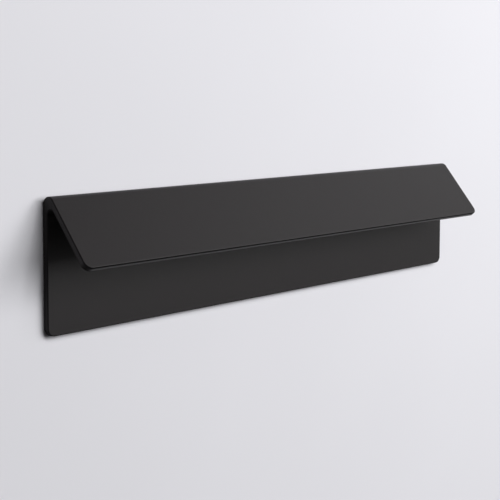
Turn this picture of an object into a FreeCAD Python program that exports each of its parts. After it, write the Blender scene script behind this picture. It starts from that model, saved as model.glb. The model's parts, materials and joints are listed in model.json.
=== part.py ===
"""Tab pull: one length of metal section, a back plate with a crown and a sloping finger flap.

Frame: X along the length, Y into the door, Z up. The origin is the centre of the flat back face.
"""
import FreeCAD, Part
import math
import os
import Sketcher
from enum import IntEnum, auto
from FreeCAD import Vector

# Driving dimensions, in millimetres, and the flap's slope in degrees
SIZES = {
    "pull_height": 40.0,      # bottom edge to the top of the crown
    "hole_spacing": 160.0,    # centre to centre of the two fixing holes
    "end_overhang": 20.0,     # fixing hole to the nearer end of the pull
    "plate_wall": 2.0,        # thickness of the back plate
    "flap_wall": 2.0,         # thickness of the flap
    "flap_reach": 19.0,       # back face to the flap's outer free corner, before edges are broken
    "flap_angle": 39.5,       # slope of the flap, away from the vertical
    "crown_radius": 2.5,      # outside of the crown
    "throat_radius": 1.5,     # inside of the crown
    "corner_radius": 2.5,     # lower corners of the plate and free corners of the flap
    "edge_radius": 0.3,       # broken edges
    "hole_drop": 15.0,        # top of the crown down to the fixing holes
    "tap_diameter": 3.3,      # hole drilled for an M4 thread
    "lead_in_diameter": 4.4,  # chamfer at the hole's mouth, on the back face
    "lead_in_angle": 90.0,    # included angle of that chamfer
}
LENGTH = "sizes.hole_spacing + 2 * sizes.end_overhang"
NEAR = 1e-4
SMOOTH_DEGREES = 1.0


class At(IntEnum):
    """Points of a sketched curve, as constraints number them."""
    START = auto()
    END = auto()
    CENTRE = auto()


# A sketch's origin, as constraints number it: the start of its own first axis
ORIGIN_POINT = (-At.START, At.START)


def make_sheet(doc):
    """Writes one row per driving dimension: its name, and its value under that name as alias."""
    sheet = doc.addObject("Spreadsheet::Sheet", "sizes")
    for row, (name, value) in enumerate(SIZES.items(), start=1):
        sheet.set(f"A{row}", name)
        sheet.set(f"B{row}", str(value))
        sheet.setAlias(f"B{row}", name)
    doc.recompute()
    return sheet


def attach(body, name, role):
    """Adds an empty sketch on one of the body's own origin planes."""
    sketch = body.newObject("Sketcher::SketchObject", name)
    plane = next(f for f in body.Origin.OriginFeatures if f.Role == role)
    sketch.AttachmentSupport = [(plane, "")]
    sketch.MapMode = "FlatFace"
    return sketch


def drive(sketch, name, formula, constraint):
    """Adds a dimension to a sketch, names it and binds it to the sheet."""
    index = sketch.addConstraint(constraint)
    sketch.renameConstraint(index, name)
    sketch.setExpression(f"Constraints.{name}", formula)


def draw_section(body, sheet):
    """Cross-section of the pull, seen along X: across is Y and the flap lies on the side of -Y."""
    half = sheet.pull_height / 2
    slope = math.radians(sheet.flap_angle)
    down = Vector(-math.sin(slope), -math.cos(slope))
    outward = Vector(-math.cos(slope), math.sin(slope))

    crown_centre = Vector(-sheet.crown_radius, half - sheet.crown_radius)
    crown_end = crown_centre + outward * sheet.crown_radius
    outer_tip = crown_end + down * ((sheet.flap_reach + crown_end.x) / math.sin(slope))
    inner_tip = outer_tip - outward * sheet.flap_wall

    # The throat's centre keeps its radius from the plate's front and from the flap's underside
    throat_y = -sheet.plate_wall - sheet.throat_radius
    on_offset = inner_tip - outward * sheet.throat_radius
    throat_centre = on_offset - down * ((on_offset.x - throat_y) / down.x)
    throat_plate = throat_centre + Vector(sheet.throat_radius, 0)
    throat_flap = throat_centre + outward * sheet.throat_radius

    back_low = Vector(0, -half)
    front_low = Vector(-sheet.plate_wall, -half)
    up = Vector(0, 0, 1)
    turn = math.pi - slope

    section = attach(body, "section", "YZ_Plane")
    back = section.addGeometry(Part.LineSegment(back_low, Vector(0, crown_centre.y)))
    crown_circle = Part.Circle(crown_centre, up, sheet.crown_radius)
    crown = section.addGeometry(Part.ArcOfCircle(crown_circle, 0, turn))
    flap_outer = section.addGeometry(Part.LineSegment(crown_end, outer_tip))
    free_edge = section.addGeometry(Part.LineSegment(outer_tip, inner_tip))
    flap_under = section.addGeometry(Part.LineSegment(inner_tip, throat_flap))
    throat_circle = Part.Circle(throat_centre, up, sheet.throat_radius)
    throat = section.addGeometry(Part.ArcOfCircle(throat_circle, 0, turn))
    front = section.addGeometry(Part.LineSegment(throat_plate, front_low))
    bottom = section.addGeometry(Part.LineSegment(front_low, back_low))

    section.addConstraint([
        Sketcher.Constraint("Tangent", back, At.END, crown, At.START),
        Sketcher.Constraint("Tangent", crown, At.END, flap_outer, At.START),
        Sketcher.Constraint("Coincident", flap_outer, At.END, free_edge, At.START),
        Sketcher.Constraint("Coincident", free_edge, At.END, flap_under, At.START),
        Sketcher.Constraint("Tangent", flap_under, At.END, throat, At.END),
        Sketcher.Constraint("Tangent", throat, At.START, front, At.START),
        Sketcher.Constraint("Coincident", front, At.END, bottom, At.START),
        Sketcher.Constraint("Coincident", bottom, At.END, back, At.START),
        Sketcher.Constraint("Vertical", back, At.START, *ORIGIN_POINT),
        Sketcher.Constraint("Vertical", back),
        Sketcher.Constraint("Vertical", front),
        Sketcher.Constraint("Horizontal", bottom),
        Sketcher.Constraint("Parallel", flap_outer, flap_under),
        Sketcher.Constraint("Perpendicular", flap_outer, free_edge),
    ])
    drive(section, "lower_half", "sizes.pull_height / 2",
          Sketcher.Constraint("DistanceY", back, At.START, *ORIGIN_POINT, half))
    drive(section, "upper_half", "sizes.pull_height / 2 - sizes.crown_radius",
          Sketcher.Constraint("DistanceY", *ORIGIN_POINT, crown, At.CENTRE, crown_centre.y))
    drive(section, "crown_radius", "sizes.crown_radius",
          Sketcher.Constraint("Radius", crown, sheet.crown_radius))
    drive(section, "throat_radius", "sizes.throat_radius",
          Sketcher.Constraint("Radius", throat, sheet.throat_radius))
    drive(section, "plate_wall", "sizes.plate_wall",
          Sketcher.Constraint("DistanceX", bottom, At.START, bottom, At.END, sheet.plate_wall))
    drive(section, "flap_wall", "sizes.flap_wall",
          Sketcher.Constraint("Distance", free_edge, sheet.flap_wall))
    drive(section, "flap_reach", "sizes.flap_reach",
          Sketcher.Constraint("DistanceX", flap_outer, At.END, *ORIGIN_POINT, sheet.flap_reach))
    drive(section, "flap_angle", "sizes.flap_angle * 1 deg",
          Sketcher.Constraint("Angle", flap_outer, At.END, back, At.START, slope))
    return section, (free_edge, bottom)


def extrude(body, section):
    """Carries the section along the length, half to each side of the middle."""
    profile = body.newObject("PartDesign::Pad", "profile")
    profile.Profile = section
    profile.SideType = "Symmetric"
    profile.setExpression("Length", LENGTH)
    body.Document.recompute()
    return profile


def edge_names(shape, wanted):
    """Names of the shape's edges that pass a test."""
    return [f"Edge{i}" for i, edge in enumerate(shape.Edges, start=1) if wanted(edge)]


def middle(edge):
    """The point halfway along an edge's own parameter."""
    return edge.valueAt((edge.FirstParameter + edge.LastParameter) / 2)


def is_sharp(shape, edge):
    """True where the two faces beside an edge meet at an angle."""
    point = middle(edge)
    normals = []
    for face in shape.ancestorsOfType(edge, Part.Face):
        u, v = face.Surface.parameter(point)
        normals.append(face.normalAt(u, v))
    first, second = normals
    return math.degrees(first.getAngle(second)) > SMOOTH_DEGREES


def round_edges(body, base, name, names, size):
    """Rounds the named edges of a feature by one of the sheet's radii."""
    rounding = body.newObject("PartDesign::Fillet", name)
    rounding.Base = (base, names)
    rounding.setExpression("Radius", f"sizes.{size}")
    body.Document.recompute()
    return rounding


def round_corners(body, profile, section, corner_lines):
    """Rounds the plate's lower corners and the flap's free corners, at both ends."""
    half_length = profile.Length.Value / 2
    corners = []
    for line in corner_lines:
        ends = section.Geometry[line]
        across = (ends.StartPoint + ends.EndPoint) / 2
        for side in (-1, 1):
            corners.append(Vector(side * half_length, across.x, across.y))

    def at_corner(edge):
        return any(middle(edge).distanceToPoint(corner) < NEAR for corner in corners)

    names = edge_names(profile.Shape, at_corner)
    return round_edges(body, profile, "rounded_corners", names, "corner_radius")


def break_edges(body, base):
    """Takes the sharpness off every edge that is left."""
    names = edge_names(base.Shape, lambda edge: is_sharp(base.Shape, edge))
    return round_edges(body, base, "broken_edges", names, "edge_radius")


def drill(body, sheet):
    """Two holes tapped from the back face, hidden behind the flap: one drawn, one mirrored."""
    doc = body.Document
    place = attach(body, "hole_place", "XZ_Plane")
    centre = Vector(sheet.hole_spacing / 2, sheet.pull_height / 2 - sheet.hole_drop)
    mark = place.addGeometry(Part.Circle(centre, Vector(0, 0, 1), sheet.tap_diameter / 2))
    drive(place, "half_spacing", "sizes.hole_spacing / 2",
          Sketcher.Constraint("DistanceX", *ORIGIN_POINT, mark, At.CENTRE, centre.x))
    drive(place, "hole_level", "sizes.pull_height / 2 - sizes.hole_drop",
          Sketcher.Constraint("DistanceY", *ORIGIN_POINT, mark, At.CENTRE, centre.y))
    drive(place, "mark_diameter", "sizes.tap_diameter",
          Sketcher.Constraint("Diameter", mark, sheet.tap_diameter))
    doc.recompute()

    hole = body.newObject("PartDesign::Hole", "fixing_hole")
    hole.Profile = place
    hole.DepthType = "Dimension"
    hole.Reversed = True
    hole.HoleCutType = "Countersink"
    hole.HoleCutCustomValues = True
    hole.DrillPoint = "Flat"
    hole.setExpression("Depth", "sizes.plate_wall + sizes.throat_radius")
    hole.setExpression("Diameter", "sizes.tap_diameter")
    hole.setExpression("HoleCutDiameter", "sizes.lead_in_diameter")
    hole.setExpression("HoleCutCountersinkAngle", "sizes.lead_in_angle * 1 deg")
    doc.recompute()

    pair = body.newObject("PartDesign::Mirrored", "fixing_holes")
    pair.Originals = [hole]
    pair.MirrorPlane = (next(f for f in body.Origin.OriginFeatures if f.Role == "YZ_Plane"), [""])
    body.Tip = pair
    doc.recompute()
    return hole, pair


def check(doc, parts):
    """Stops on a failed feature or an unsound solid."""
    for item in doc.Objects:
        if "Invalid" in item.State or "Error" in item.State:
            raise RuntimeError(f"{item.Label} failed: {item.State}")
    for part in parts:
        if part.Shape.isNull() or not part.Shape.isValid() or len(part.Shape.Solids) != 1:
            raise RuntimeError(f"{part.Label} is not one sound solid")


def check_holes(sheet, before, hole, pair):
    """Stops unless each hole took out at least its own bore through the plate."""
    bore = math.pi * (sheet.tap_diameter / 2) ** 2 * sheet.plate_wall
    for done, count in ((hole, 1), (pair, 2)):
        if before.Shape.Volume - done.Shape.Volume < count * bore - NEAR:
            raise RuntimeError(f"{done.Label} does not go through the plate")


def main():
    doc = FreeCAD.newDocument("tab_pull")
    sheet = make_sheet(doc)
    body = doc.addObject("PartDesign::Body", "pull")
    body.Label = "pull"

    section, corner_lines = draw_section(body, sheet)
    profile = extrude(body, section)
    corners = round_corners(body, profile, section, corner_lines)
    broken = break_edges(body, corners)
    hole, pair = drill(body, sheet)

    check(doc, [body])
    check_holes(sheet, broken, hole, pair)
    os.makedirs("parts", exist_ok=True)
    body.Shape.exportStep(f"parts/{body.Label}.step")
    box = body.Shape.optimalBoundingBox(False)
    print(f"{body.Label}: {box.XLength:.2f} x {box.YLength:.2f} x {box.ZLength:.2f} mm, "
          f"{body.Shape.Volume:.0f} mm3")


main()
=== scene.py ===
"""Tab pull: a bent strip with a raked finger flap, shown on a pale wall."""

import json
import math
from dataclasses import dataclass

import bmesh
import bpy
import numpy as np
from bpy.props import (
    FloatProperty,
    FloatVectorProperty,
    PointerProperty,
)
from mathutils import Matrix, Vector


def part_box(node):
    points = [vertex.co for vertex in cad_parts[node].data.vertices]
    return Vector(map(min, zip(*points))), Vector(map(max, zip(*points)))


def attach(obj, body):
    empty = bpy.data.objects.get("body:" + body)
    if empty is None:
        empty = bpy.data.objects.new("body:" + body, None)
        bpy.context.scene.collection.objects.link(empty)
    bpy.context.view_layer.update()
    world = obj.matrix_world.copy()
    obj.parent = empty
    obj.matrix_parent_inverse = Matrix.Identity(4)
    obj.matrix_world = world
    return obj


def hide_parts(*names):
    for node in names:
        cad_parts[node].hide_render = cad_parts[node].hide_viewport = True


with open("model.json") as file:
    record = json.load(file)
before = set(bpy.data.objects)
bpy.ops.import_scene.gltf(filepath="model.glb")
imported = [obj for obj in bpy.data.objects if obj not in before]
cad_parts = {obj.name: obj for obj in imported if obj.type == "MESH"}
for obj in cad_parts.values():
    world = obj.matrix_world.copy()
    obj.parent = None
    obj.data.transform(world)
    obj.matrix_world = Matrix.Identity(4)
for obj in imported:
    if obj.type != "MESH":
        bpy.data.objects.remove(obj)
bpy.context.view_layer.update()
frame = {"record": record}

bl_info = {
    "name": "Tab Pull",
    "version": (1, 0, 0),
    "blender": (4, 5, 0),
    "location": "View3D > Sidebar > Tab Pull",
    "description": "Bends the coated tab pull and sets up the wall it is shown on",
    "category": "Add Mesh",
}

MM = 0.001
LOW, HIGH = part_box("pull")
FIXING = next(m for m in frame["record"]["mounts"] if m["name"] == "fixing_holes")


def distance(name, description, default):
    """A length that the sidebar shows in the scene's unit."""
    return FloatProperty(
        name=name, description=description, default=default, min=0.0,
        precision=5, subtype="DISTANCE", unit="LENGTH",
    )


def angle(name, description, degrees):
    """An angle, given here in degrees."""
    return FloatProperty(
        name=name, description=description, default=math.radians(degrees),
        subtype="ANGLE", unit="ROTATION",
    )


def share(name, description, default):
    """A number from 0 to 1."""
    return FloatProperty(
        name=name, description=description, default=default,
        min=0.0, max=1.0, subtype="FACTOR",
    )


def power(name, description, watts):
    """A lamp's power."""
    return FloatProperty(
        name=name, description=description, default=watts,
        min=0.0, subtype="POWER", unit="POWER",
    )


def colour(name, description, default):
    """A linear colour."""
    return FloatVectorProperty(
        name=name, description=description, default=default,
        size=3, min=0.0, max=1.0, subtype="COLOR",
    )


class PullSizes(bpy.types.PropertyGroup):
    """Sizes of the bent strip and its fixing holes."""

    length: distance("Length", "Strip's length", HIGH.x - LOW.x)
    height: distance("Height", "Lower edge to top of crown", HIGH.z - LOW.z)
    wall: distance("Wall", "Thickness of plate and flap", 2.0 * MM)
    reach: distance("Reach", "Back face to the flap's sharp tip", 19.0 * MM)
    rake: angle("Rake", "Angle between plate and flap", 39.5)
    crown: distance("Crown radius", "Outside of the bend", 2.5 * MM)
    throat: distance("Throat radius", "Inside of the bend", 1.5 * MM)
    corner: distance("Corner radius", "Four corners of the strip", 2.5 * MM)
    edge: distance("Edge radius", "Break all round both sides", 0.3 * MM)
    spacing: distance(
        "Hole spacing", "Between the fixing holes",
        FIXING["dims"]["spacing_x_mm"] * MM,
    )
    hole_height: distance(
        "Hole height", "Fixing holes above the plate's middle", FIXING["pos_m"][2],
    )
    bore: distance(
        "Bore radius", "Crests of the thread", FIXING["dims"]["hole_r_mm"] * MM,
    )
    thread: distance("Thread radius", "Roots of the thread", 2.0 * MM)
    pitch: distance("Thread pitch", "Crest to crest", 0.7 * MM)
    lead_in: distance("Lead-in radius", "Countersink at the back", 2.2 * MM)


class CoatFinish(bpy.types.PropertyGroup):
    """Matte black coating and the bare metal of the cut thread."""

    tone: colour("Coat", "Coating's colour", (0.0082, 0.0064, 0.0071))
    roughness: share("Roughness", "Spread of the coating's gloss", 0.43)
    gloss: share("Gloss", "Strength of the coating's gloss", 0.19)
    grain: distance("Grain", "Size of the coating's fine grain", 0.25 * MM)
    depth: distance("Grain depth", "Height of the fine grain", 0.02 * MM)
    metal: colour("Bare metal", "Cut aluminium of the thread", (0.62, 0.63, 0.64))


class StageSettings(bpy.types.PropertyGroup):
    """Wall, lamps and camera."""

    wall_tone: colour("Wall", "Painted wall", (0.79, 0.785, 0.825))
    room: share("Room", "Paleness of the room round the wall", 0.5)
    ambient: share("Ambient", "Light that the room adds", 0.03)
    key: power("Key lamp", "Lamp at the right front", 6.45)
    fill: power("Fill lamp", "Lamp further to the right", 4.45)
    top: power("Top lamp", "Lamp above the front", 7.1)
    side: power("Side lamp", "Lamp high at the right", 1.0)
    rear: power("Rear lamp", "Lamp behind the wall, on the back face", 12.0)
    lens: FloatProperty(
        name="Lens", description="Focal length on a 36 mm sensor",
        default=87.423, min=1.0, subtype="DISTANCE_CAMERA", unit="CAMERA",
    )
    rise: FloatProperty(
        name="Lens rise", description="Vertical shift of the picture", default=-0.16,
    )
    heading: angle("Heading", "Camera's turn to the right of square on", 48.123)
    tilt: angle("Tilt", "Camera's tilt below level", 4.038)
    roll: angle("Roll", "Camera's turn about its own axis", 0.138)
    eye: FloatVectorProperty(
        name="Eye", description="Camera's place",
        default=(-313.75 * MM, -269.80 * MM, 51.44 * MM),
        size=3, precision=5, subtype="XYZ", unit="LENGTH",
    )


@dataclass
class Side:
    """One side of the bent strip: up the plate, round the bend, down the flap."""

    plate: float
    centre: np.ndarray
    radius: float
    turn: float
    flap: float
    facing: int

    @property
    def bend_end(self):
        return self.plate + self.radius * self.turn

    @property
    def length(self):
        return self.bend_end + self.flap

    def follow(self, s):
        """Points, normals and tangents at the distances s along the side.

        The point is the bend's centre plus the radius at the turn reached so
        far, less what of the plate is still to come, plus what of the flap is
        already past along the last tangent.
        """
        phi = np.clip((s - self.plate) / self.radius, 0.0, self.turn)[:, None]
        radial = np.hstack([np.cos(phi), np.sin(phi)])
        tangent = np.hstack([-np.sin(phi), np.cos(phi)])
        before = np.minimum(s - self.plate, 0.0)[:, None]
        after = np.maximum(s - self.bend_end, 0.0)[:, None]
        point = self.centre + self.radius * radial + (before + after) * tangent
        lift = lambda flat: np.insert(flat, 0, 0.0, axis=1)
        return lift(point), lift(self.facing * radial), lift(tangent)


# Painted shade: how dark the coat is painted in the throat under the flap
THROAT_SHADE = 0.9
THROAT_FADE = 1.5 * MM


def painted_throat_shade(side, s):
    """Painted shade inside the bend, where the flap keeps the light out of the throat.

    THROAT_SHADE in the throat, fading to 0 over THROAT_FADE past both ends of
    the bend, and 0 on the outer side.
    """
    past = np.maximum(side.plate - s, s - side.bend_end)
    return THROAT_SHADE * np.clip(1.0 - past / THROAT_FADE, 0.0, 1.0) * (side.facing < 0)


def thin_at_edge(side, s):
    """How thin the coat is at the side's edges.

    1 on the inner side. On the outer side 0 up to the last third of the bend,
    rising to 1 at the bend's end.
    """
    past = (s - side.plate) / (side.bend_end - side.plate)
    return np.clip(3.0 * past - 2.0, 0.0, 1.0) if side.facing > 0 else np.ones_like(s)


def strip_sides(size):
    """Outer and inner side of the strip, from its named sizes.

    The outer bend touches the back face and the top; the flap's outer line
    ends at the reach. The inner bend's centre lies one wall and one throat
    radius inside both the plate and the flap, and both sides end on one line
    square to the flap.
    """
    turn = math.pi - size.rake
    across = np.array([math.cos(turn), math.sin(turn)])
    along = np.array([-math.sin(turn), math.cos(turn)])
    half = size.height / 2
    outer_centre = np.array([-size.crown, half - size.crown])
    outer_flap = (size.reach - size.crown * (1 + math.cos(size.rake))) / math.sin(size.rake)
    inset = size.crown - size.wall - size.throat
    rise = (inset + (size.wall + size.throat - size.crown) * across[0]) / across[1]
    inner_centre = np.array([-size.wall - size.throat, outer_centre[1] + rise])
    inner_flap = outer_flap + (outer_centre - inner_centre) @ along
    outer = Side(half + outer_centre[1], outer_centre, size.crown, turn, outer_flap, 1)
    inner = Side(half + inner_centre[1], inner_centre, size.throat, turn, inner_flap, -1)
    return outer, inner


def marks(start, *runs):
    """Marks along a line: each run (end, cells) goes on to its end in equal cells."""
    starts = [start] + [end for end, _ in runs]
    steps = [np.linspace(a, end, cells + 1)[1:] for a, (end, cells) in zip(starts, runs)]
    return np.concatenate([[start], *steps])


# A narrow cell beside a bend or a break keeps the flat face's shading flat
HOLD = 0.02 * MM
# Half the side of the square round a hole, and the cells along that side
PATCH = 5.0 * MM
PATCH_CELLS = 16


def marks_along(side, size):
    """Marks up one side, one corner radius in from its lower and free edges."""
    hole = size.height / 2 + size.hole_height
    return marks(
        size.corner,
        (hole - PATCH, 7), (hole + PATCH, PATCH_CELLS),
        (side.plate - HOLD, 3), (side.plate, 1),
        (side.bend_end, 36), (side.bend_end + HOLD, 1),
        (side.length - size.corner, 9),
    )


def marks_across(size):
    """Marks along the strip's length, between its corner radii, close together at the holes."""
    end = size.length / 2 - size.corner
    hole = size.spacing / 2
    return marks(
        -end,
        (-hole - PATCH, 5), (-hole + PATCH, PATCH_CELLS),
        (hole - PATCH, 30),
        (hole + PATCH, PATCH_CELLS), (end, 5),
    )


def outline(x, count, cells=12):
    """Closed path round the strip's flat outline.

    Gives x, the index of the mark along the side, and the outward heading. It
    goes along the lower edge, up the right end, back along the free edge and
    down the left end. The heading turns a quarter in each corner.
    """
    quarter = math.pi / 2
    fan = np.linspace(0.0, quarter, cells + 1)[1:-1]
    up = np.arange(count)
    legs = [
        (x, 0, -quarter), (x[-1], 0, fan - quarter),
        (x[-1], up, 0.0), (x[-1], up[-1], fan),
        (x[::-1], up[-1], quarter), (x[0], up[-1], fan + quarter),
        (x[0], up[::-1], 2 * quarter), (x[0], 0, fan + 2 * quarter),
    ]
    path = np.concatenate([np.stack(np.broadcast_arrays(*leg), -1) for leg in legs])
    return path[:, 0], path[:, 1].astype(int), path[:, 2]


@dataclass
class Patch:
    """A grid of points, its quads, where the coat thins at an edge, where shade is painted in
    the throat, and where the coat is cut away.
    """

    points: np.ndarray
    closed: bool = False
    keep: np.ndarray = None
    thin: np.ndarray = None
    bare: np.ndarray = None

    def quads(self):
        """Corner indices of the grid's cells.

        A closed grid has its last row joined to its first.
        """
        rows, columns = self.points.shape[:2]
        index = np.arange(rows * columns).reshape(rows, columns)
        if self.closed:
            index = np.vstack([index, index[:1]])
        cells = np.stack(
            [index[:-1, :-1], index[1:, :-1], index[1:, 1:], index[:-1, 1:]], -1
        )
        return cells.reshape(-1, 4) if self.keep is None else cells[self.keep]

    def level(self, name):
        """Values of one mask at every point, 0 where it isn't given."""
        value = getattr(self, name)
        shape = self.points.shape[:2]
        return np.broadcast_to(0.0 if value is None else value, shape).ravel()


def side_sheet(side, size, x, s):
    """Flat and bent part of one side, x times distance along it, left open at the holes."""
    point, _, _ = side.follow(s)
    grid = np.repeat(point[None], len(x), axis=0)
    grid[..., 0] = x[:, None]
    middle_x = np.abs((x[1:] + x[:-1]) / 2) - size.spacing / 2
    middle_s = (s[1:] + s[:-1]) / 2 - size.height / 2 - size.hole_height
    near = (np.abs(middle_x) < PATCH)[:, None] & (np.abs(middle_s) < PATCH)[None]
    # The sheet's mask is the painted shade in the throat
    return Patch(grid, keep=~near, thin=painted_throat_shade(side, s))


LINE_START_OUTER = 0.55
LINE_START_INNER = 0.2
LINE_FADE = 0.2
END_WEAR = 0.6
CORNER_WEAR = 0.7


def border(sides, lines, size, x):
    """Rounded border along the outline, from the outer sheet over the edge to the inner one.

    Across it a point lies at the base, plus a run along the outward heading,
    less a drop along the side's normal. The run goes straight to one edge
    radius short of the outline; then run and drop follow a quarter circle.

    The coat thins on that quarter circle from a start angle on, fully along
    the long edges and by END_WEAR at the ends. The line goes on over the first
    third of the edge's flat. Round the corners it rises to CORNER_WEAR all over it.
    On the inner side, near the throat, the painted shade runs on over the border
    and fades out over the quarter circle.
    """
    xs, step, heading = outline(x, len(lines[0]))
    phi = np.linspace(0.0, math.pi / 2, 9)
    flat = (size.corner - size.edge) * np.array([0.0, 0.4, 0.7, 0.87, 0.96])
    brink = size.corner - size.edge - HOLD
    run = np.concatenate([flat, [brink], size.corner - size.edge * (1 - np.sin(phi))])
    drop = np.concatenate([0 * flat, [0.0], size.edge * (1 - np.cos(phi))])
    inward = np.concatenate([1 + 0 * flat, [1.0], np.cos(phi) ** 2])
    lengthwise = np.abs(np.sin(heading))[:, None]
    worn = END_WEAR + (1.0 - END_WEAR) * lengthwise
    halves, masks = [], []
    for side, s in zip(sides, lines):
        base, normal, tangent = (v[step] for v in side.follow(s))
        base[:, 0] = xs
        out = np.cos(heading)[:, None] * [1.0, 0.0, 0.0] + np.sin(heading)[:, None] * tangent
        halves.append(
            base[:, None] + run[:, None] * out[:, None] - drop[:, None] * normal[:, None]
        )
        start = LINE_START_OUTER if side.facing > 0 else LINE_START_INNER
        rise = np.clip((phi - start) / LINE_FADE, 0.0, 1.0)
        arc = np.concatenate([0 * flat, [0.0], rise])
        at_edge = worn * thin_at_edge(side, s)[step][:, None] * arc
        # Painted shade of the throat, carried on over the inner side's border
        masks.append(np.maximum(at_edge, painted_throat_shade(side, s)[step][:, None] * inward))
    brink_out, brink_in = halves[0][:, -1:], halves[1][:, -1:]
    t = np.array([0.12, 0.25, 0.35, 0.6, 0.95])
    edge = brink_out + t[:, None] * (brink_in - brink_out)
    across = lengthwise * masks[0][:, -1:] * np.clip(3.5 - 10.0 * t, 0.0, 1.0)
    across = np.maximum(across, CORNER_WEAR * np.abs(np.sin(2 * heading))[:, None])
    thin = np.concatenate([masks[0], across, masks[1][:, ::-1]], axis=1)
    points = np.concatenate([halves[0], edge, halves[1][:, ::-1]], axis=1)
    return Patch(points, closed=True, thin=thin)


FRONT_BREAK = 0.15 * MM
BARE_FADE = 0.05 * MM


def thread_wall(size, x):
    """Wall of one fixing hole, turn times depth from the back face.

    The radius is the largest of the lead-in cone, a small break at the front
    and the thread: a ridge wave of depth over pitch plus turn, cut off at the
    root and crest radii, with flanks at 60 degrees to each other.
    """
    turn = np.arange(4 * PATCH_CELLS) / (4 * PATCH_CELLS)
    depth = np.linspace(0.0, size.wall, 101)
    cone = np.maximum(
        size.lead_in - depth, size.bore + FRONT_BREAK - (size.wall - depth)
    )
    phase = np.mod(turn[:, None] - depth / size.pitch, 1.0)
    aside = np.abs(phase - 0.5) * size.pitch - size.pitch / 16
    groove = np.clip(size.thread - aside * math.sqrt(3), size.bore, size.thread)
    radius = np.maximum(cone, groove)
    theta = 2 * math.pi * turn[:, None]
    points = np.stack(
        [
            x + radius * np.cos(theta),
            np.broadcast_to(-depth, radius.shape),
            size.hole_height + radius * np.sin(theta),
        ],
        -1,
    )
    bare = np.clip((radius - cone) / BARE_FADE, 0.0, 1.0)
    return Patch(points, closed=True, bare=bare)


def hole_surround(rim, x, z):
    """Ring between a hole's rim and the square left open for it in the sheet.

    The square's outline is a wave of period 8 cut off at 1, and the ring is
    the straight blend from rim to square.
    """
    wave = lambda t: np.clip(np.abs(np.mod(t, 8.0) - 4.0) - 2.0, -1.0, 1.0)
    t = 8.0 * np.arange(len(rim)) / len(rim)
    square = np.stack(
        [x + PATCH * wave(t), rim[:, 1], z + PATCH * wave(t - 2.0)], -1
    )
    blend = (np.linspace(0.0, 1.0, 9) ** 1.6)[:, None]
    return Patch(rim[:, None] + blend * (square - rim)[:, None], closed=True)


WELD = 2e-6
SHARP = math.radians(32.0)


def welded(name, patches):
    """One closed mesh of all patches, with doubles merged and faces pointing outwards."""
    counts = [p.points.shape[0] * p.points.shape[1] for p in patches]
    starts = np.concatenate([[0], np.cumsum(counts)[:-1]])
    points = np.concatenate([p.points.reshape(-1, 3) for p in patches])
    quads = np.concatenate([p.quads() + a for p, a in zip(patches, starts)])
    mesh = bpy.data.meshes.new(name)
    mesh.from_pydata(points, [], quads)
    for mask in ("thin", "bare"):
        level = np.concatenate([p.level(mask) for p in patches]).astype(np.float32)
        mesh.attributes.new(mask, "FLOAT", "POINT").data.foreach_set("value", level)
    shell = bmesh.new()
    shell.from_mesh(mesh)
    bmesh.ops.remove_doubles(shell, verts=shell.verts, dist=WELD)
    bmesh.ops.recalc_face_normals(shell, faces=shell.faces)
    if any(not edge.is_manifold for edge in shell.edges):
        raise RuntimeError(f"{name} isn't closed")
    shell.to_mesh(mesh)
    shell.free()
    mesh.shade_smooth()
    mesh.set_sharp_from_angle(angle=SHARP)
    return mesh


class Value:
    """A number's socket. Arithmetic on it adds the Math node that works it out."""

    def __init__(self, graph, socket):
        self.graph, self.socket = graph, socket

    def _math(self, operation, first, second):
        node = self.graph.add("ShaderNodeMath", {"operation": operation}, {0: first, 1: second})
        return Value(self.graph, node.outputs[0])

    def __add__(self, other):
        return self._math("ADD", self, other)

    def __sub__(self, other):
        return self._math("SUBTRACT", self, other)

    def __rsub__(self, other):
        return self._math("SUBTRACT", other, self)

    def __mul__(self, other):
        return self._math("MULTIPLY", self, other)

    __radd__, __rmul__ = __add__, __mul__

    def at_least(self, other):
        return self._math("MAXIMUM", self, other)


class Graph:
    """A node tree that starts empty."""

    def __init__(self, tree):
        self.tree = tree
        tree.nodes.clear()

    def add(self, kind, settings=None, inputs=None):
        """A node of that kind: its settings first, then its sockets' values or links."""
        node = self.tree.nodes.new(kind)
        for name, setting in (settings or {}).items():
            setattr(node, name, setting)
        for key, value in (inputs or {}).items():
            if isinstance(value, Value):
                self.tree.links.new(value.socket, node.inputs[key])
            elif isinstance(value, bpy.types.NodeSocket):
                self.tree.links.new(value, node.inputs[key])
            else:
                node.inputs[key].default_value = value
        return node

    def value(self, node, output=0):
        return Value(self, node.outputs[output])

    def mask(self, name):
        """One of the mesh's masks."""
        node = self.add("ShaderNodeAttribute", {"attribute_name": name})
        return self.value(node, "Fac")

    def noise(self, place, size, detail=2.0):
        """Soft noise with features about size across, from 0 to 1."""
        node = self.add(
            "ShaderNodeTexNoise", {},
            {"Vector": place, "Scale": 1.0 / size, "Detail": detail, "Roughness": 0.5},
        )
        return self.value(node, "Fac")

    def mix(self, factor, first, second):
        """Blend of two colours."""
        node = self.add(
            "ShaderNodeMix", {"data_type": "RGBA"},
            {"Factor": factor, 6: first, 7: second},
        )
        return node.outputs[2]


def new_material(name):
    """An empty node material."""
    material = bpy.data.materials.new(name)
    material.use_nodes = True
    return material, Graph(material.node_tree)


def rgba(tone, factor=1.0):
    """A colour with full alpha, times a factor."""
    return (*[min(1.0, c * factor) for c in tone], 1.0)


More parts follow.
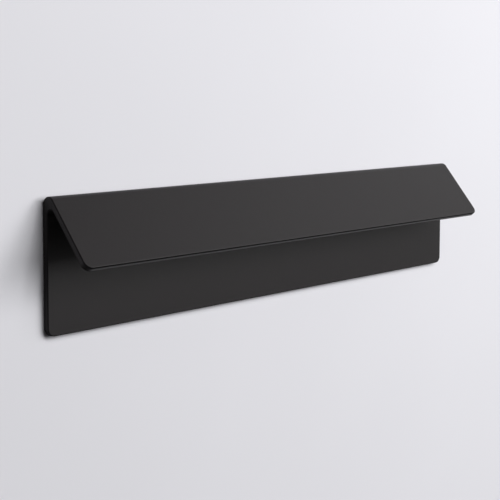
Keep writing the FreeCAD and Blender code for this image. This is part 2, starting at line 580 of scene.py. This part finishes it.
def coat_material(finish):
    """Matte black coating with a cloudy tone and a fine grain.

    It is darker where it thins over the edges and where shade is painted in
    the throat, and the thread is bare metal.
    """
    material, graph = new_material("matte_black_coat")
    place = graph.add("ShaderNodeTexCoord").outputs["Object"]
    # One mask holds the thin coat at the edges and the painted shade in the throat
    thin, bare = graph.mask("thin"), graph.mask("bare")
    cloud = graph.noise(place, 22.0 * MM)
    grain = graph.noise(place, finish.grain, 3.0)
    peel = graph.noise(place, 5.0 * finish.grain, 1.0)
    coat = graph.mix(
        cloud * 0.6 + grain * 0.4, rgba(finish.tone, 0.85), rgba(finish.tone, 1.15)
    )
    # Near-black where the coat thins over the edges, and painted shade in the throat under the
    # flap
    lined_and_painted_shade = graph.mix(thin, coat, rgba(finish.tone, 0.05))
    tone = graph.mix(bare, lined_and_painted_shade, rgba(finish.metal))
    rough = finish.roughness + (grain - 0.5) * 0.16 + (cloud - 0.5) * 0.06 + thin * 0.4
    bump = graph.add(
        "ShaderNodeBump", {},
        {"Strength": 1.0, "Distance": finish.depth, "Height": grain + peel * 0.8},
    )
    shader = graph.add(
        "ShaderNodeBsdfPrincipled", {},
        {
            "Base Color": tone,
            "Metallic": bare + thin * 0.8,
            "Roughness": rough - bare * 0.12,
            "Specular IOR Level": finish.gloss,
            "Normal": bump.outputs["Normal"],
        },
    )
    graph.add("ShaderNodeOutputMaterial", {}, {"Surface": shader.outputs[0]})
    return material


def wall_material(tone, near, far):
    """Pale paint with a faint roller texture, seen only from the front.

    It fades out between the distances near and far from the middle.
    """
    material, graph = new_material("wall_paint")
    place = graph.add("ShaderNodeTexCoord").outputs["Object"]
    cloud = graph.noise(place, 60.0 * MM)
    stipple = graph.noise(place, 1.2 * MM)
    paint = graph.add(
        "ShaderNodeBsdfPrincipled", {},
        {
            "Base Color": graph.mix(cloud, rgba(tone, 0.985), rgba(tone, 1.015)),
            "Roughness": 0.85,
            "Specular IOR Level": 0.2,
            "Normal": graph.add(
                "ShaderNodeBump", {},
                {"Strength": 0.5, "Distance": 0.004 * MM, "Height": stipple},
            ).outputs["Normal"],
        },
    )
    behind = graph.value(graph.add("ShaderNodeNewGeometry"), "Backfacing")
    away = graph.add("ShaderNodeVectorMath", {"operation": "LENGTH"}, {0: place})
    faded = graph.add(
        "ShaderNodeMapRange", {"interpolation_type": "SMOOTHSTEP"},
        {"Value": away.outputs["Value"], "From Min": near, "From Max": far},
    )
    clear = graph.add("ShaderNodeBsdfTransparent")
    shown = graph.add(
        "ShaderNodeMixShader", {},
        {
            0: behind.at_least(graph.value(faded)),
            1: paint.outputs[0],
            2: clear.outputs[0],
        },
    )
    graph.add("ShaderNodeOutputMaterial", {}, {"Surface": shown.outputs[0]})
    return material


def placed(name, mesh, material):
    """An object at the origin with one material."""
    mesh.materials.append(material)
    piece = bpy.data.objects.new(name, mesh)
    bpy.context.scene.collection.objects.link(piece)
    return piece


class TABPULL_OT_bend_pull(bpy.types.Operator):
    """Bend the strip, round its corners and edges and cut its fixing threads"""

    bl_idname = "tab_pull.bend_pull"
    bl_label = "Bend Pull"
    bl_options = {"REGISTER", "UNDO"}

    def execute(self, context):
        size = context.scene.tab_pull_sizes
        sides = strip_sides(size)
        x = marks_across(size)
        lines = [marks_along(side, size) for side in sides]
        patches = [side_sheet(side, size, x, s) for side, s in zip(sides, lines)]
        patches.append(border(sides, lines, size, x))
        for hole in (-size.spacing / 2, size.spacing / 2):
            wall = thread_wall(size, hole)
            patches.append(wall)
            for end in (0, -1):
                patches.append(hole_surround(wall.points[:, end], hole, size.hole_height))
        mesh = welded("pull_shell", patches)
        pull = placed("pull_shell", mesh, coat_material(context.scene.tab_pull_finish))
        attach(pull, "root")
        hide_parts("pull")
        return {"FINISHED"}


def wall_mesh(size, gap, far):
    """Wall behind the pull, open where the back face covers it.

    A ring between the back face's rounded outline and a far circle: the
    straight blend from one to the other. The outline lies inside the edge
    breaks, and its top under the crown.
    """
    corner = np.array([size.length, size.height]) / 2
    low, high = size.edge - corner, corner - [size.edge, 0.7 * size.crown]
    middle, half = (low + high) / 2, (high - low) / 2
    radius = size.corner - size.edge
    theta = np.linspace(0.0, 2 * math.pi, 129)[:-1] + 2 * math.pi / 256
    ray = np.stack([np.cos(theta), np.sin(theta)], -1)
    inner = middle + np.sign(ray) * (half - radius) + radius * ray
    blend = (np.linspace(0.0, 1.0, 25) ** 3)[:, None]
    flat = inner[:, None] + blend * (far * ray - inner)[:, None]
    points = np.insert(flat, 1, gap, axis=2)
    ring = Patch(points, closed=True)
    mesh = bpy.data.meshes.new("wall")
    mesh.from_pydata(points.reshape(-1, 3), [], ring.quads())
    mesh.update()
    if mesh.polygons[0].normal.y > 0:
        mesh.flip_normals()
    return mesh


def soft_lamp(name, place, width, height, watts):
    """A rectangular soft lamp that faces the middle of the back face."""
    lamp = bpy.data.lights.new(name, "AREA")
    lamp.shape = "RECTANGLE"
    lamp.size, lamp.size_y = width, height
    lamp.energy = watts
    stand = bpy.data.objects.new(name, lamp)
    stand.location = place
    stand.rotation_euler = (-Vector(place)).to_track_quat("-Z", "Y").to_euler()
    bpy.context.scene.collection.objects.link(stand)


def pale_room(paleness, ambient):
    """World that looks pale to the eye and in reflections, and adds only a little light."""
    world = bpy.data.worlds.new("pale_room")
    world.use_nodes = True
    graph = Graph(world.node_tree)
    path = graph.add("ShaderNodeLightPath")
    seen = graph.value(path, "Is Camera Ray")
    for ray in ("Is Glossy Ray", "Is Transmission Ray"):
        seen = seen.at_least(graph.value(path, ray))
    sky = graph.add(
        "ShaderNodeBackground", {},
        {"Color": (1.0, 1.0, 1.0, 1.0), "Strength": ambient + seen * (paleness - ambient)},
    )
    graph.add("ShaderNodeOutputWorld", {}, {"Surface": sky.outputs[0]})
    return world


# Each lamp's setting, place, width and height
LAMPS = (
    ("key", (0.549, -1.032, 0.270), 0.6, 0.8),
    ("fill", (0.861, -0.776, 0.311), 0.5, 0.5),
    ("top", (0.101, -0.966, 0.705), 0.6, 0.6),
    ("side", (0.901, -0.241, 0.755), 0.6, 0.6),
    ("rear", (0.0, 1.1, -0.25), 2.2, 0.7),
)
SENSOR = 36.0
WALL_GAP = 0.05 * MM
WALL_RADIUS = 1.0
WALL_FADE = (0.3, 0.9)


class TABPULL_OT_set_stage(bpy.types.Operator):
    """Put up the wall, the lamps and the camera"""

    bl_idname = "tab_pull.set_stage"
    bl_label = "Set Stage"
    bl_options = {"REGISTER", "UNDO"}

    def execute(self, context):
        scene = context.scene
        size, stage = scene.tab_pull_sizes, scene.tab_pull_stage
        mesh = wall_mesh(size, WALL_GAP, WALL_RADIUS)
        paint = wall_material(stage.wall_tone, *WALL_FADE)
        placed("wall", mesh, paint)
        for name, place, width, height in LAMPS:
            soft_lamp(f"{name}_lamp", place, width, height, getattr(stage, name))
        scene.world = pale_room(stage.room, stage.ambient)
        camera = bpy.data.cameras.new("camera")
        camera.lens, camera.sensor_width = stage.lens, SENSOR
        camera.shift_y = stage.rise
        eye = bpy.data.objects.new("camera", camera)
        eye.matrix_world = (
            Matrix.Translation(stage.eye)
            @ Matrix.Rotation(-stage.heading, 4, "Z")
            @ Matrix.Rotation(math.pi / 2 - stage.tilt, 4, "X")
            @ Matrix.Rotation(stage.roll, 4, "Z")
        )
        scene.collection.objects.link(eye)
        scene.camera = eye
        scene.view_settings.view_transform = "Standard"
        return {"FINISHED"}


class TABPULL_PT_panel(bpy.types.Panel):
    """Pull and stage in the sidebar"""

    bl_label = "Tab Pull"
    bl_space_type = "VIEW_3D"
    bl_region_type = "UI"
    bl_category = "Tab Pull"

    def draw(self, context):
        scene = context.scene
        for operator, group in (
            (TABPULL_OT_bend_pull, (scene.tab_pull_sizes, scene.tab_pull_finish)),
            (TABPULL_OT_set_stage, (scene.tab_pull_stage,)),
        ):
            box = self.layout.box()
            box.operator(operator.bl_idname)
            for settings in group:
                for name in settings.__annotations__:
                    box.prop(settings, name)


GROUPS = {
    "tab_pull_sizes": PullSizes,
    "tab_pull_finish": CoatFinish,
    "tab_pull_stage": StageSettings,
}
CLASSES = (*GROUPS.values(), TABPULL_OT_bend_pull, TABPULL_OT_set_stage, TABPULL_PT_panel)


def register():
    for cls in CLASSES:
        bpy.utils.register_class(cls)
    for name, group in GROUPS.items():
        setattr(bpy.types.Scene, name, PointerProperty(type=group))


def unregister():
    for name in GROUPS:
        delattr(bpy.types.Scene, name)
    for cls in reversed(CLASSES):
        bpy.utils.unregister_class(cls)


def main():
    register()
    bpy.ops.tab_pull.bend_pull()
    bpy.ops.tab_pull.set_stage()


if __name__ == "__main__":
    main()
